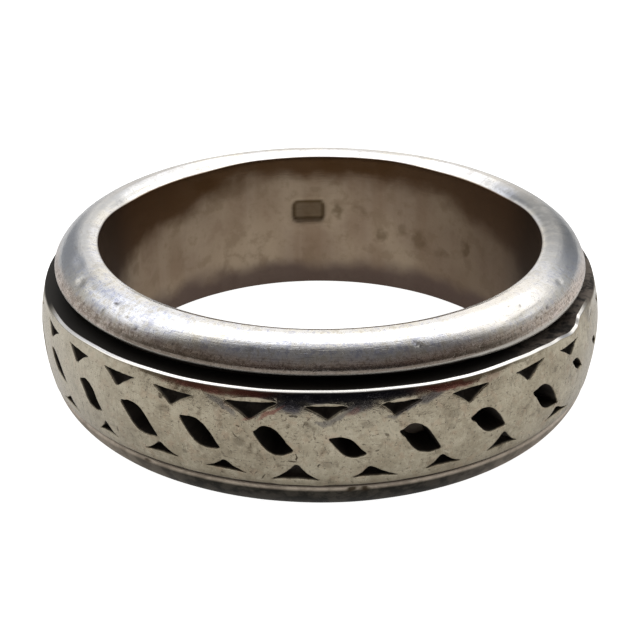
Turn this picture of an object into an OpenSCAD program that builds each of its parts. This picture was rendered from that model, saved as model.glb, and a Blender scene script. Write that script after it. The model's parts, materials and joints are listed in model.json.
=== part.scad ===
// Spinner ring: a flared core band with a pierced, domed outer band that turns freely on it.
// The ring lies on its side. Z is the finger's axis, and the bottom rim rests on z = 0.

/* [Finger hole] */
// Radius of the finger hole, a US size 9
bore_r = 9.5; // [7.5:0.1:11.5]
// Rounding where the hole meets each rim
bore_round = 0.32; // [0.1:0.02:0.4]
// Width of the narrow land worn flat on the crown of each rim
land_w = 0.22; // [0.1:0.02:0.4]

/* [Core band] */
// Thickness of the sleeve between the rims
sleeve_t = 1.2; // [0.9:0.05:1.6]
// Height of the top rim
top_rim_h = 1.1; // [0.8:0.05:1.6]
// How far the top rim stands out from the sleeve
top_rim_reach = 0.7; // [0.4:0.05:1.1]
// Height of the bottom rim
low_rim_h = 1.55; // [0.9:0.05:2]
// How far the bottom rim stands out from the sleeve
low_rim_reach = 1.1; // [0.5:0.05:1.3]
// Radius of the rolled outer edge of each rim
rim_edge = 0.4; // [0.2:0.05:0.5]
// Height of a rim's widest line above its inner side
rim_lip = 0.13; // [0.05:0.01:0.3]

/* [Spinner band] */
// Height of the spinner
spinner_h = 3.95; // [3.4:0.05:6]
// Thickness of the spinner at its widest line
spinner_t = 1.35; // [1:0.05:2]
// How far the widest line lies below the spinner's middle
crown_low = 0.05; // [-0.4:0.01:0.4]
// How far the dome falls back at the top edge
top_fall = 0.35; // [0.1:0.01:0.5]
// How far the dome falls back at the bottom edge
low_fall = 0.14; // [0.05:0.01:0.4]
// Rounding of the spinner's two outer edges
edge_round = 0.16; // [0.05:0.01:0.3]

/* [Running fit] */
// Gap all round between the sleeve and the spinner
turn_gap = 0.06; // [0.02:0.01:0.1]
// Gap under the spinner, which has dropped onto the bottom rim
seat_gap = 0.05; // [0.03:0.01:0.15]
// Free height left above the spinner
end_play = 0.45; // [0.1:0.05:0.6]

/* [Pierced pattern] */
// Repeats of the braid round the spinner
repeats = 27; // [16:1:30]
// Angle of the first leaf slot, from the front
first_turn = 5.1; // [-10:0.1:10]
// Length of a leaf slot, tip to tip
leaf_len = 1.95; // [1.2:0.05:2.3]
// Width of a leaf slot
leaf_w = 0.84; // [0.5:0.02:1.1]
// Slope of a leaf slot, down to the right as seen from outside
leaf_tilt = 34; // [15:1:50]
// How far the leaf slots lie below the spinner's middle
leaf_low = 0.08; // [-0.3:0.02:0.3]
// Width of a corner chip
chip_w = 1.6; // [0.8:0.05:1.9]
// Height of a corner chip
chip_h = 0.62; // [0.3:0.02:0.8]
// Depth of a corner chip
chip_depth = 0.45; // [0.2:0.05:0.7]
// Plain border between the upper chips and the spinner's top edge
top_border = 0.5; // [0.4:0.05:0.8]
// Plain border between the lower chips and the spinner's bottom edge
low_border = 0.45; // [0.4:0.05:0.8]
// Turn of the upper chips against the leaf slots
top_chip_turn = -5.1; // [-8:0.1:-3]
// Turn of the lower chips against the leaf slots
low_chip_turn = 4.2; // [3:0.1:8]

/* [Hidden] */
$fn = 96;
// How far a cutting shape runs past the metal it cuts
over = 1;
crown_start = bore_r + bore_round + land_w;
sleeve_r = bore_r + sleeve_t;
spinner_r = sleeve_r + turn_gap;
crown_r = spinner_r + spinner_t;
spinner_z = low_rim_h + seat_gap;
top_rim_z = spinner_z + spinner_h + end_play;
crown_h = spinner_h / 2 - crown_low;
leaf_h = spinner_h / 2 - leaf_low;
step_turn = 360 / repeats;

// Radius of the broad arc that leaves a level line and runs into a small edge arc
function broad_arc(run, drop, edge) =
    ((run - edge) ^ 2 + drop ^ 2 - edge ^ 2) / (2 * (drop - edge));

// Radius of the arc that falls back by sag over a height
function dome_arc(height, sag) = (height ^ 2 + sag ^ 2) / (2 * sag);

// Half section of a rim: its inner side lies on y = 0 and its crown on y = h
module rim_section(outer_r, h) {
    broad_r = broad_arc(outer_r - crown_start, h - rim_lip, rim_edge);
    broad_c = [crown_start, h - broad_r];
    edge_c = [outer_r - rim_edge, rim_lip];
    beyond = edge_c + (edge_c - broad_c) * 10;
    intersection() {
        translate([bore_r, 0])
            square([outer_r - bore_r, h]);
        union() {
            translate([bore_r, 0])
                square([bore_round + land_w, h - bore_round]);
            translate([bore_r + bore_round, 0])
                square([land_w, h]);
            translate([bore_r + bore_round, h - bore_round])
                circle(bore_round);
            difference() {
                intersection() {
                    translate(broad_c)
                        circle(broad_r);
                    translate([crown_start, 0])
                        square([outer_r, h]);
                }
                polygon([edge_c, beyond, [beyond[0], -over], [edge_c[0], -over]]);
            }
            translate(edge_c)
                circle(rim_edge);
        }
    }
}

// Half section of the spinner: two arcs that meet at the widest line, with rounded edges
module spinner_section() {
    top_r = dome_arc(spinner_h - crown_h, top_fall);
    low_r = dome_arc(crown_h, low_fall);
    union() {
        dome_half(top_r, spinner_h - crown_h);
        mirror([0, 1])
            dome_half(low_r, crown_h);
    }
}

// One half of the dome, from the widest line at y = 0 up to its edge at y = h
module dome_half(arc_r, h) {
    arc_c = [crown_r - arc_r, 0];
    edge_y = h - edge_round;
    edge_c = [arc_c[0] + sqrt((arc_r - edge_round) ^ 2 - edge_y ^ 2), edge_y];
    beyond = edge_c + (edge_c - arc_c) * 3;
    difference() {
        intersection() {
            translate(arc_c)
                circle(arc_r);
            translate([spinner_r, 0])
                square([spinner_t, h]);
        }
        polygon([edge_c, beyond, [edge_c[0], beyond[1] + over]]);
    }
    translate(edge_c)
        circle(edge_round);
}

// Turns a shape drawn in the XY plane to face outwards on the ring at an angle and a height
module facing(turn, z) {
    rotate([0, 0, turn])
        translate([0, 0, z])
            rotate([90, 0, 0])
                children();
}

// Leaf outline: the overlap of two equal circles
module leaf_outline() {
    sag = leaf_w / 2;
    arc_r = dome_arc(leaf_len / 2, sag);
    rotate(-leaf_tilt)
        intersection() {
            translate([0, sag - arc_r])
                circle(arc_r);
            translate([0, arc_r - sag])
                circle(arc_r);
        }
}

// Blind triangular chip in a face: its long side lies on y = 0, its point is 1 for up, -1 for down
module chip(face_r, point) {
    translate([0, 0, face_r - chip_depth])
        linear_extrude(chip_depth + over)
            polygon([[-chip_w / 2, 0], [chip_w / 2, 0], [0, point * chip_h]]);
}

module core_band() {
    color("silver")
        rotate_extrude() {
            translate([0, top_rim_z])
                rim_section(sleeve_r + top_rim_reach, top_rim_h);
            translate([bore_r, low_rim_h])
                square([sleeve_t, top_rim_z - low_rim_h]);
            translate([0, low_rim_h])
                mirror([0, 1])
                    rim_section(sleeve_r + low_rim_reach, low_rim_h);
        }
}

module spinner_band() {
    color("darkgray")
        difference() {
            translate([0, 0, spinner_z + crown_h])
                rotate_extrude()
                    spinner_section();
            for (i = [0 : repeats - 1]) {
                turn = first_turn + i * step_turn;
                facing(turn, spinner_z + leaf_h)
                    translate([0, 0, spinner_r - over])
                        linear_extrude(spinner_t + 2 * over)
                            leaf_outline();
                facing(turn + top_chip_turn, spinner_z + spinner_h - top_border)
                    chip(crown_r - top_fall, -1);
                facing(turn + low_chip_turn, spinner_z + low_border)
                    chip(crown_r - low_fall, 1);
            }
        }
}

core_band();
spinner_band();
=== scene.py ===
# Spinner ring: a flared core band and a pierced, domed band that turns on it
import bpy
import json
import math
import random
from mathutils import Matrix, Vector, geometry


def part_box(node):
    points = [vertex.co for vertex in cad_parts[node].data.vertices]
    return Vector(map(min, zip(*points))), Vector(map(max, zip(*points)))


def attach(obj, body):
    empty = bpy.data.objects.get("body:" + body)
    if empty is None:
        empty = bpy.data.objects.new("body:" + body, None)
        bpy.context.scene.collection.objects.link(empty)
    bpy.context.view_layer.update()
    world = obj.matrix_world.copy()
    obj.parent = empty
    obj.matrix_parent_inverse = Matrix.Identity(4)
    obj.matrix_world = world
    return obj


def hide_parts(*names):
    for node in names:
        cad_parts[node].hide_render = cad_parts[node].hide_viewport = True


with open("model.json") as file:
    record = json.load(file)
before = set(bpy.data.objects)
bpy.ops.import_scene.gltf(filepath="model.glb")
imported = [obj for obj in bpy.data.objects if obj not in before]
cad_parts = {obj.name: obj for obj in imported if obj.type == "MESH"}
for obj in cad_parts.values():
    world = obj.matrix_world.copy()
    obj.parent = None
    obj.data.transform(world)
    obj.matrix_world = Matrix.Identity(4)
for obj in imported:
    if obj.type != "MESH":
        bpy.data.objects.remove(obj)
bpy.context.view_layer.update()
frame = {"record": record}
mm = 0.001
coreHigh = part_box("core_band")[1] / mm
spinLow, spinHigh = [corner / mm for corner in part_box("spinner_band")]
boreRadius = frame["record"]["mounts"][0]["dims"]["r_mm"]
ringHeight = coreHigh.z
crownRadius = spinHigh.x
print("frame loaded: ring height", round(ringHeight, 2), "crown radius", round(crownRadius, 2))


def addObject(name, data):
    made = bpy.data.objects.new(name, data)
    bpy.context.scene.collection.objects.link(made)
    return made


# Camera at the photo's angle

view = {
    "distance": 61.5,       # millimetres from the ring's middle
    "elevation": 25.7,
    "lens": 77.96,
    "aimLow": 0.785,        # degrees that the camera looks below the ring's middle
}


def makeCamera(v):
    data = bpy.data.cameras.new("photoCamera")
    data.lens, data.sensor_width = v["lens"], 36
    data.clip_start, data.clip_end = 0.001, 10
    camera = addObject("photoCamera", data)
    rise = math.radians(v["elevation"])
    middle = Vector((0, 0, ringHeight / 2 * mm))
    camera.location = middle + Vector((0, -math.cos(rise), math.sin(rise))) * v["distance"] * mm
    camera.rotation_euler = (math.pi / 2 - rise - math.radians(v["aimLow"]), 0, 0)
    bpy.context.scene.camera = camera


makeCamera(view)


# Lines and loops, drawn as lists of (x, y)

def between(a, b, share):
    return a[0] + (b[0] - a[0]) * share, a[1] + (b[1] - a[1]) * share


def arcPoints(centre, radius, startTurn, endTurn, steps):
    turns = [math.radians(startTurn + (endTurn - startTurn) * i / steps) for i in range(steps + 1)]
    return [(centre[0] + radius * math.cos(t), centre[1] + radius * math.sin(t)) for t in turns]


def linePoints(start, end, spacing):
    steps = max(1, round(math.dist(start, end) / spacing))
    return [between(start, end, i / steps) for i in range(steps + 1)]


def smoothStep(low, high, value):
    # From 0 at low to 1 at high, also where low is the larger
    share = min(1.0, max(0.0, (value - low) / (high - low)))
    return share * share * (3 - 2 * share)


def turnOf(centre, point):
    return math.degrees(math.atan2(point[1] - centre[1], point[0] - centre[0]))


def smoothLoop(points, passes):
    for _ in range(passes):
        rows = zip(points[-1:] + points, points, points[1:] + points[:1])
        points = [tuple((a[k] + 2 * p[k] + c[k]) / 4 for k in (0, 1)) for a, p, c in rows]
    return points


def evenLoop(points, count):
    # The same closed line with evenly spaced points
    closed = points + points[:1]
    lengths = [0.0]
    for a, b in zip(closed, closed[1:]):
        lengths.append(lengths[-1] + math.dist(a, b))
    result, j = [], 0
    for i in range(count):
        target = lengths[-1] * i / count
        while lengths[j + 1] < target:
            j += 1
        share = (target - lengths[j]) / (lengths[j + 1] - lengths[j])
        result.append(between(closed[j], closed[j + 1], share))
    return result


def grownLoop(points, distance):
    # Moves an anticlockwise loop outwards along its normals
    result = []
    for before, p, after in zip(points[-1:] + points, points, points[1:] + points[:1]):
        dx, dy = after[0] - before[0], after[1] - before[1]
        length = math.hypot(dx, dy)
        result.append((p[0] + dy / length * distance, p[1] - dx / length * distance))
    return result


def isInside(point, loop):
    hit = False
    x, y = point
    for (ax, ay), (bx, by) in zip(loop, loop[1:] + loop[:1]):
        if (ay > y) != (by > y) and x < (bx - ax) * (y - ay) / (by - ay) + ax:
            hit = not hit
    return hit


def ringPlace(v):
    # A point's turn from the front, its radius and its height, in degrees and millimetres
    return math.degrees(math.atan2(v.co.x, -v.co.y)), math.hypot(v.co.x, v.co.y) / mm, v.co.z / mm


class Nodes:
    # Short calls that build a node tree; tone is the colour laid down so far

    def __init__(self, tree):
        self.tree, self.tone = tree, None

    def feed(self, socket, value):
        if isinstance(value, bpy.types.NodeSocket):
            self.tree.links.new(value, socket)
        else:
            socket.default_value = value

    def add(self, kind, output=0, inputs=None, **settings):
        # Gives back one output by its name or place, or all of them for None
        node = self.tree.nodes.new(kind)
        for name, value in settings.items():
            setattr(node, name, value)
        for key, value in (inputs or {}).items():
            if value is not None:
                self.feed(node.inputs[key], value)
        return node.outputs if output is None else node.outputs[output]

    def number(self, operation, first, second=0.0):
        return self.add("ShaderNodeMath", 0, {0: first, 1: second}, operation=operation)

    def plus(self, first, *others):
        for other in others:
            first = self.number("ADD", first, other)
        return first

    def times(self, first, *others):
        for other in others:
            first = self.number("MULTIPLY", first, other)
        return first

    def minus(self, first, second):
        return self.number("SUBTRACT", first, second)

    def larger(self, first, second):
        return self.number("MAXIMUM", first, second)

    def vector(self, operation, first, second=None, scale=None):
        output = "Value" if operation in ("DOT_PRODUCT", "LENGTH") else 0
        inputs = {0: first, 1: second, "Scale": scale}
        return self.add("ShaderNodeVectorMath", output, inputs, operation=operation)

    def split(self, vector):
        return self.add("ShaderNodeSeparateXYZ", None, {0: vector})

    def join(self, x, y, z):
        return self.add("ShaderNodeCombineXYZ", 0, {0: x, 1: y, 2: z})

    def step(self, value, low, high):
        # Smooth step from 0 at low to 1 at high, also where low is the larger
        inputs = {"Value": value, "From Min": min(low, high), "From Max": max(low, high),
                  "To Min": float(low > high), "To Max": float(low < high)}
        return self.add("ShaderNodeMapRange", "Result", inputs, interpolation_type="SMOOTHSTEP")

    def mix(self, share, first, second):
        ends = [end if isinstance(end, bpy.types.NodeSocket) else (*end, 1.0) for end in (first, second)]
        return self.add("ShaderNodeMix", 2, {0: share, 6: ends[0], 7: ends[1]}, data_type="RGBA")

    def base(self, share, first, second):
        self.tone = self.mix(share, first, second)

    def coat(self, tint, *shares):
        # Lays a tint over the tone, by the product of the shares
        self.tone = self.mix(self.times(*shares), self.tone, tint)


# The tree that repeats a straight slice of a band along a row of pegs and bends the row into a ring

bandNumbers = ("Bend Radius", "First Turn", "Weld Distance", "Waver Depth", "Waver Scale", "Dent Depth",
               "Dent Scale", "Ragged Depth", "Ragged Scale", "Seed")
bandInputs = {"Pegs": "Geometry", "Slice": "Object", "Metal": "Material", **dict.fromkeys(bandNumbers, "Float")}
cutNames = ("leaf", "topChip", "lowChip")


def makeBandTree():
    tree = bpy.data.node_groups.new("bendBandIntoRing", "GeometryNodeTree")
    sockets = {}
    for name, kind in bandInputs.items():
        made = tree.interface.new_socket(name=name, in_out="INPUT", socket_type="NodeSocket" + kind)
        sockets[name] = made.identifier
    tree.interface.new_socket(name="Ring", in_out="OUTPUT", socket_type="NodeSocketGeometry")
    n = Nodes(tree)
    given = n.add("NodeGroupInput", None)

    def named(name, kind="FLOAT"):
        return n.add("GeometryNodeInputNamedAttribute", "Attribute", {"Name": name}, data_type=kind)

    def parts(name):
        return n.split(named(name, "FLOAT_VECTOR"))

    def moved(shape, **inputs):
        return n.add("GeometryNodeSetPosition", 0, {"Geometry": shape, **inputs})

    def noise(scale, output):
        inputs = {"Scale": scale, "W": given["Seed"], "Detail": 1.0}
        return n.add("ShaderNodeTexNoise", output, inputs, noise_dimensions="4D")

    # One slice on each peg, made real
    part = n.add("GeometryNodeObjectInfo", "Geometry", {"Object": given["Slice"]}, transform_space="ORIGINAL")
    part = n.add("GeometryNodeInstanceOnPoints", 0, {"Points": given["Pegs"], "Instance": part})
    shape = n.add("GeometryNodeRealizeInstances", 0, {"Geometry": part})

    # The cutter's hand: each slice slides a little, in step with its neighbours
    side, slides = named("side"), parts("slide")
    pulls = [n.times(n.minus(slides[other], slides[1]), n.larger(n.times(side, half), 0.0))
             for other, half in ((0, -0.5), (2, 0.5))]
    slide = n.plus(slides[1], n.plus(*pulls))

    # Each cut moves, widens, tilts and grows by what its peg says; the grip fades this out around it
    spot, sums = parts("spot"), []
    for word in ("Move", "Form"):
        shares = [n.vector("SCALE", named(cut + word, "FLOAT_VECTOR"), scale=named(cut + "Grip"))
                  for cut in cutNames]
        sums.append(n.split(n.vector("ADD", n.vector("ADD", shares[0], shares[1]), shares[2])))
    move, form = sums
    tilt = n.plus(n.times(spot[2], form[1]), n.times(spot[2], move[1]))
    x = n.plus(n.plus(move[0], slide), n.plus(n.times(spot[0], form[0]), tilt))
    z = n.plus(move[2], n.minus(n.times(spot[2], form[2]), n.times(spot[0], form[1])))
    # A leaf's two tips move on their own, and a top chip without a facet has a straight long side
    tips, leftTip, rightTip = parts("tips"), named("leftTip"), named("rightTip")
    x = n.plus(x, n.times(leftTip, tips[0]))
    z = n.plus(n.minus(z, n.times(leftTip, tips[1])), n.times(rightTip, tips[2]))
    flatten = n.vector("SCALE", named("flatten", "FLOAT_VECTOR"), scale=n.minus(1.0, parts("lens")[0]))
    inward = n.times(z, named("fallRate"))
    shape = moved(shape, Offset=n.vector("ADD", n.join(x, inward, z), flatten))

    # Bending: x becomes the turn and -y the radius
    flat = n.split(n.add("GeometryNodeInputPosition"))
    turn = n.plus(n.number("DIVIDE", flat[0], given["Bend Radius"]), given["First Turn"])
    ringX = n.times(n.times(flat[1], -1.0), n.number("SINE", turn))
    ringY = n.times(flat[1], n.number("COSINE", turn))
    shape = moved(shape, Position=n.join(ringX, ringY, flat[2]))
    shape = n.add("GeometryNodeMergeByDistance", 0, {"Geometry": shape, "Distance": given["Weld Distance"]})

    # Hand wear: a slow waver and shallow dents on the face, and ragged edges on the cuts
    lifts = [n.times(n.minus(noise(given[word + " Scale"], 0), 0.5), given[word + " Depth"])
             for word in ("Waver", "Dent")]
    lift = n.times(n.plus(*lifts), named("face"))
    shape = moved(shape, Offset=n.vector("SCALE", n.add("GeometryNodeInputNormal"), scale=lift))
    torn = n.vector("SUBTRACT", noise(given["Ragged Scale"], 1), (0.5, 0.5, 0.5))
    here = n.split(n.add("GeometryNodeInputPosition"))
    outwards = n.vector("NORMALIZE", n.join(here[0], here[1], 0.0))
    bulge = n.vector("DOT_PRODUCT", torn, outwards)
    torn = n.vector("SUBTRACT", torn, n.vector("SCALE", outwards, scale=bulge))
    depth = n.times(named("ragged"), given["Ragged Depth"])
    shape = moved(shape, Offset=n.vector("SCALE", torn, scale=depth))
    shape = n.add("GeometryNodeSetShadeSmooth", 0, {"Geometry": shape})
    shape = n.add("GeometryNodeSetMaterial", 0, {"Geometry": shape, "Material": given["Metal"]})
    n.add("NodeGroupOutput", None, {0: shape})
    return tree, sockets


bandTree, bandSockets = makeBandTree()
print("band tree made")


def addColumns(mesh, columns):
    # Named point values: one number or one vector for each point
    for title, column in columns.items():
        isVector = isinstance(column[0], (tuple, list))
        flat = [c for vector in column for c in vector] if isVector else column
        kind, word = ("FLOAT_VECTOR", "vector") if isVector else ("FLOAT", "value")
        mesh.attributes.new(title, kind, "POINT").data.foreach_set(word, flat)


def sliceObject(name, points, faces, columns):
    # Points in millimetres
    mesh = bpy.data.meshes.new(name)
    mesh.from_pydata([Vector(p) * mm for p in points], [], faces)
    addColumns(mesh, columns)
    return addObject(name, mesh)


def bendIntoRing(name, slicePart, pegs, pegColumns, values, metal):
    # Pegs are the x of each slice; pegColumns gives each peg one vector for each name
    mesh = bpy.data.meshes.new(name + "Pegs")
    mesh.from_pydata([Vector((x * mm, 0, 0)) for x in pegs], [], [])
    addColumns(mesh, pegColumns)
    rail = addObject(name + "Rail", mesh)
    modifier = rail.modifiers.new("bend", "NODES")
    modifier.node_group = bandTree
    for title, value in {**values, "Slice": slicePart, "Metal": metal}.items():
        modifier[bandSockets[title]] = value
    graph = bpy.context.evaluated_depsgraph_get()
    ringMesh = bpy.data.meshes.new_from_object(rail.evaluated_get(graph))
    ringMesh.name = name
    piece = addObject(name, ringMesh)
    for used in (rail, slicePart):
        bpy.data.objects.remove(used)
    kept = ("position", "along", "bore", "groove", "lip", "soot", "shine")
    spent = [a.name for a in ringMesh.attributes
             if a.domain == "POINT" and a.data_type.startswith("FLOAT") and a.name not in kept]
    for title in spent:
        ringMesh.attributes.remove(ringMesh.attributes[title])
    triangles = sum(len(p.vertices) - 2 for p in ringMesh.polygons)
    print(name, "bent:", len(ringMesh.vertices), "points,", triangles, "triangles")
    return piece


def dipEdge(piece, rows, heights, radii=None, innerRadius=0.0, slope=0.0):
    # Lets an upper edge dip by a chart of (turn, dip in millimetres). The dip sets in from the first to
    # the second of the heights and of the radii, and the wall grows outwards by the slope
    lowest = ringHeight * 0.6
    for v in piece.data.vertices:
        turn, radius, z = ringPlace(v)
        weight = smoothStep(*heights, z) * (smoothStep(*radii, radius) if radii else 1.0)
        if weight > 0 and z > lowest and radius > innerRadius:
            (turnA, dipA), (turnB, dipB) = next(pair for pair in zip(rows, rows[1:]) if turn <= pair[1][0])
            dip = (dipA + (dipB - dipA) * smoothStep(turnA, turnB, turn)) * weight
            grown = 1 - dip * slope / radius
            v.co = (v.co.x * grown, v.co.y * grown, v.co.z + dip * mm)
    piece.data.update()


# Core band

core = {
    "boreRound": 0.32,          # where the finger hole meets a rim: width of the slope,
    "boreFall": 0.11,           # how far it falls, and the rounding at its foot
    "boreCorner": 0.06,
    "landWidth": 0.22,          # narrow flat worn on each crown
    "sleeveThickness": 1.2,
    "topRimHeight": 1.09,
    "topRimReach": 0.7,
    "lowRimHeight": 1.51,
    "rimEdge": 0.28,            # radius of the rolled outer edge
    "rimLip": 0.13,             # height of the widest line above the rim's inner side
    "slices": 85,
    "sliceSteps": 8,
    "fineSpacing": 0.1,
    "roughSpacing": 0.3,
    "waverDepth": 0.05,         # slow waver and shallow dents of the whole skin, and their scale
    "waverScale": 120.0,
    "dentDepth": 0.012,
    "dentScale": 700.0,
    "raggedDepth": 0.0,
    "seed": 3.0,
    "soft": 0.06,               # width over which one finish runs into the next
}

# Nicks, pits and dents in the core: turn from the front (degrees), radius and height of their middle,
# length round the ring and width across it, tilt (degrees), depth (all mm), and how dark they are
coreMarks = (
    (-49.0, 11.14, 6.62, 0.12, 0.42, 10, 0.05, 0.9),
    (-47.2, 10.72, 6.94, 0.36, 0.14, 20, 0.04, 0.9),
    (-56.0, 11.20, 6.55, 0.20, 0.16, 0, 0.03, 0.6),
    (-38.5, 11.19, 6.56, 0.16, 0.12, 0, 0.03, 0.7),
    (-42.0, 10.95, 6.80, 0.50, 0.08, -15, 0.02, 0.4),
    (-29.0, 11.22, 6.50, 0.14, 0.12, 0, 0.02, 0.6),
    (-13.5, 11.05, 6.70, 0.50, 0.08, 5, 0.015, 0.4),
    (19.0, 10.93, 6.81, 0.60, 0.10, -35, 0.03, 0.7),
    (24.0, 10.55, 7.00, 0.30, 0.10, -30, 0.02, 0.5),
    (43.5, 10.54, 7.02, 0.22, 0.12, 10, 0.03, 0.6),
    (46.0, 10.70, 6.94, 0.20, 0.14, -20, 0.03, 0.7),
    (52.5, 11.18, 6.56, 0.22, 0.12, 0, 0.03, 0.7),
    (47.0, 11.05, 6.70, 4.20, 0.22, 2, 0.03, 0.15),
    (62.0, 10.90, 6.83, 0.60, 0.30, 0, 0.03, 0.1),
    (-62.0, 10.90, 6.83, 0.90, 0.50, 0, 0.04, 0.1),
    (-70.0, 10.50, 7.03, 1.60, 0.50, 0, 0.03, 0.0),
    (5.8, 11.79, 1.38, 0.55, 0.26, 15, 0.01, 0.95),
    (8.2, 11.79, 1.36, 0.46, 0.36, -20, 0.01, 0.95),
    (-34.5, 11.79, 1.38, 0.40, 0.20, 0, 0.01, 0.8),
)

# Scratches and dark stains in the spinner: turn (degrees), height, length, width (mm),
# clockwise tilt (degrees) and strength
spinnerMarks = (
    (-29.7, 4.68, 0.35, 0.22, 30, 0.8), (-29.0, 4.2, 0.9, 0.45, 0, 0.35), (-25.0, 2.55, 0.35, 0.3, 0, 0.45),
    (-14.5, 4.13, 0.22, 0.08, 25, 0.7), (-14.9, 3.7, 0.55, 0.06, 45, 0.7), (-14.2, 3.45, 0.6, 0.55, 0, 0.4),
    (-12.2, 3.35, 0.32, 0.06, 80, 0.6), (-10.2, 1.95, 0.40, 0.08, -60, 0.8), (-11.5, 2.1, 0.35, 0.06, -55, 0.5),
    (-8.0, 2.85, 0.35, 0.07, 60, 0.45), (-4.15, 2.95, 0.42, 0.07, 88, 0.9), (-4.8, 2.77, 0.55, 0.09, 4, 0.8),
    (-0.2, 2.62, 0.30, 0.08, -60, 0.85), (1.4, 2.65, 0.60, 0.5, 0, 0.3), (-4.6, 4.68, 0.42, 0.11, 0, 0.7),
    (-17.4, 2.85, 0.30, 0.12, 60, 0.4), (-2.0, 4.35, 0.45, 0.4, 0, 0.3), (11.7, 3.83, 0.32, 0.14, 45, 0.7),
    (7.6, 3.5, 0.15, 0.10, 0, 0.6), (10.0, 3.2, 0.22, 0.07, 0, 0.6), (21.0, 2.72, 0.26, 0.07, 80, 0.5),
    (8.2, 4.3, 0.75, 0.4, 0, 0.3), (24.3, 4.2, 0.8, 0.4, 10, 0.3), (24.0, 3.7, 0.5, 0.35, 0, 0.25),
    (-51.6, 2.6, 0.5, 0.12, 85, 0.5), (-42.2, 3.85, 0.3, 0.10, -60, 0.45), (-40.8, 2.45, 0.36, 0.14, 85, 0.6),
    (49.8, 4.35, 0.45, 0.35, 0, 0.35), (40.5, 3.4, 0.5, 0.08, 30, 0.4), (56.0, 3.4, 0.7, 0.35, 60, 0.25),
    (64.0, 5.0, 0.3, 0.15, 0, 0.3),
)
# Dark ovals between the front chips, the same columns: on the shoulder a painted dark reflection, lower down
# under the chips painted shade with dark grease
darkReflectionAndGrease = (
    (4.0, 5.38, 9.2, 0.70, 0, 0.95), (-5.2, 5.05, 1.5, 0.85, 5, 0.95), (6.8, 5.0, 1.7, 0.6, -10, 0.8),
    (-18.6, 5.0, 1.0, 0.36, 20, 0.6), (20.3, 5.08, 1.7, 0.42, -14, 0.75), (-16.9, 4.78, 1.5, 0.26, 32, 0.6),
    (-11.3, 4.62, 0.9, 0.2, -28, 0.4), (3.3, 4.64, 1.3, 0.24, -38, 0.6), (15.6, 4.74, 1.8, 0.26, -24, 0.7),
    (0.8, 4.4, 1.1, 0.3, 0, 0.6), (12.6, 4.52, 0.8, 0.16, 0, 0.5),
)
# Reddish painted reflection between the front chips: the same columns
redReflection = (
    (-22.0, 5.34, 4.4, 0.40, 0, 0.95), (-13.0, 5.38, 3.2, 0.34, -4, 0.9), (24.0, 5.3, 3.4, 0.44, 4, 0.95),
    (-8.6, 4.76, 1.5, 0.2, -30, 0.8), (-12.6, 4.5, 0.7, 0.22, -20, 0.6), (5.6, 4.82, 0.9, 0.3, -16, 0.4),
    (33.0, 5.2, 1.4, 0.4, 0, 0.3),
)
# Dips of the top rim's lip and of the spinner's top edge, as (turn, dip)
lipDips = ((-180, 0.0), (-90, 0.0), (-60, -0.06), (-35, -0.04), (-20, -0.02), (0, 0.0), (20, -0.04),
           (28, -0.06), (33, -0.12), (40, -0.17), (50, -0.19), (60, -0.18), (80, -0.13), (115, 0.0),
           (180, 0.0))
edgeDips = ((-180, 0.0), (-110, -0.1), (-75, -0.26), (-62, -0.26), (-46, -0.12), (-30, -0.05),
            (-12, -0.01), (0, 0.02), (12, 0.01), (24, -0.03), (29, -0.05), (38, -0.04), (45, -0.09),
            (52, -0.18), (58, -0.33), (60, -0.30), (63, -0.03), (67, 0.02), (75, -0.06), (100, 0.0),
            (180, 0.0))
# How far the top rim's crown is worn down at the finger hole
crownWear = ((-180, -0.1), (-162, -0.12), (-142, -0.25), (-118, -0.25), (-95, -0.04), (-80, 0.0), (80, 0.0),
             (100, -0.04), (120, -0.2), (142, -0.18), (160, -0.08), (180, -0.1))
blankMark = {"turn": -176.5, "height": 4.05, "length": 1.8, "width": 1.3, "depth": 0.05, "corner": 0.4}


def rimOutline(c, outerRadius, height):
    # From the bore over the crown to the rim's inner side, with the inner side on y = 0
    slopeEnd = boreRadius + c["boreRound"]
    crownStart = slopeEnd + c["landWidth"]
    edge, lip, spacing, corner = c["rimEdge"], c["rimLip"], c["fineSpacing"], c["boreCorner"]
    # The broad arc leaves the level crown and runs into the small edge arc
    run, drop = outerRadius - crownStart, height - lip
    broad = ((run - edge) ** 2 + drop ** 2 - edge ** 2) / (2 * (drop - edge))
    broadCentre, edgeCentre = (crownStart, height - broad), (outerRadius - edge, lip)
    meet = turnOf(broadCentre, edgeCentre)
    foot = -math.degrees(math.asin(lip / edge))
    points = arcPoints((boreRadius + corner, height - c["boreFall"] - corner), corner, 180, 105, 4)
    points += linePoints(points[-1], (slopeEnd, height - 0.01), 0.06)[1:]
    points += linePoints((slopeEnd + 0.05, height), (crownStart, height), spacing)
    points += arcPoints(broadCentre, broad, 90, meet, round(math.radians(90 - meet) * broad / spacing))[1:]
    return points + arcPoints(edgeCentre, edge, meet, foot, 7)[1:]


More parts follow.
